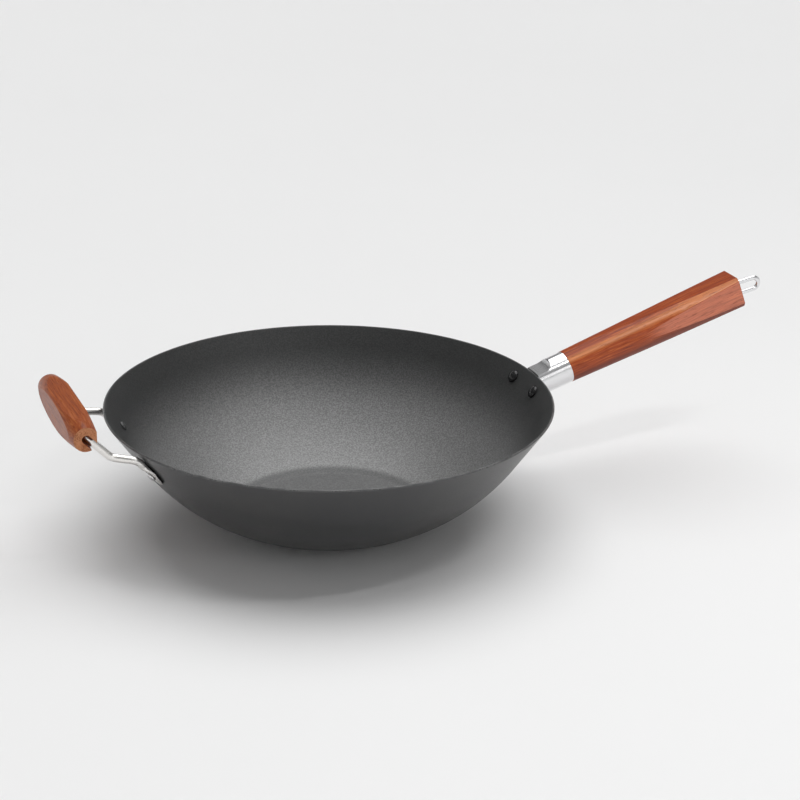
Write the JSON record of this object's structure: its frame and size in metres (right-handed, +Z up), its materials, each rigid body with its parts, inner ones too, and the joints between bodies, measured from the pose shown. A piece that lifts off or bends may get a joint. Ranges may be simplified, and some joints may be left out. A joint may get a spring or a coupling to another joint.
{
  "type": "carbon steel wok",
  "caption": "Flat-based carbon steel wok with a flared wall, a long faceted wooden handle with a hanging loop, and a wooden helper handle on a bent wire.",
  "frame": {"origin": "centre of the flat base, on the surface that the wok stands on", "axes": "+Z up, +X along the long handle away from the bowl, helper handle towards -X"},
  "size_m": [0.6086, 0.3562, 0.1611],
  "materials": {
    "bowl_steel": "matte dark carbon steel, fine pebbled inside",
    "socket_chrome": "polished",
    "rivet_black": "glossy black head",
    "grip_wood": "reddish brown lacquer",
    "rod_steel": "plain drawn wire",
    "loop_chrome": "polished",
    "wire_steel": "polished stainless wire",
    "helper_wood": "reddish brown lacquer, bare end grain",
    "helper_rivet_steel": "satin"
  },
  "bodies": {
    "wok": {"wok_bowl": "bowl_steel", "handle_socket": "socket_chrome", "handle_rivet_left": "rivet_black", "handle_rivet_right": "rivet_black", "long_grip": "grip_wood", "tie_rod": "rod_steel", "helper_wire": "wire_steel", "helper_grip": "helper_wood", "helper_rivet_left": "helper_rivet_steel", "helper_rivet_right": "helper_rivet_steel"},
    "loop": {"hanging_loop": "loop_chrome"}
  },
  "joints": [
    {"name": "loop_swing", "type": "hinge", "parent": "wok", "child": "loop", "pos_m": [0.35916, 0, 0.14655], "axis": [0, -1, 0], "range_deg": [-11, 25]}
  ]
}
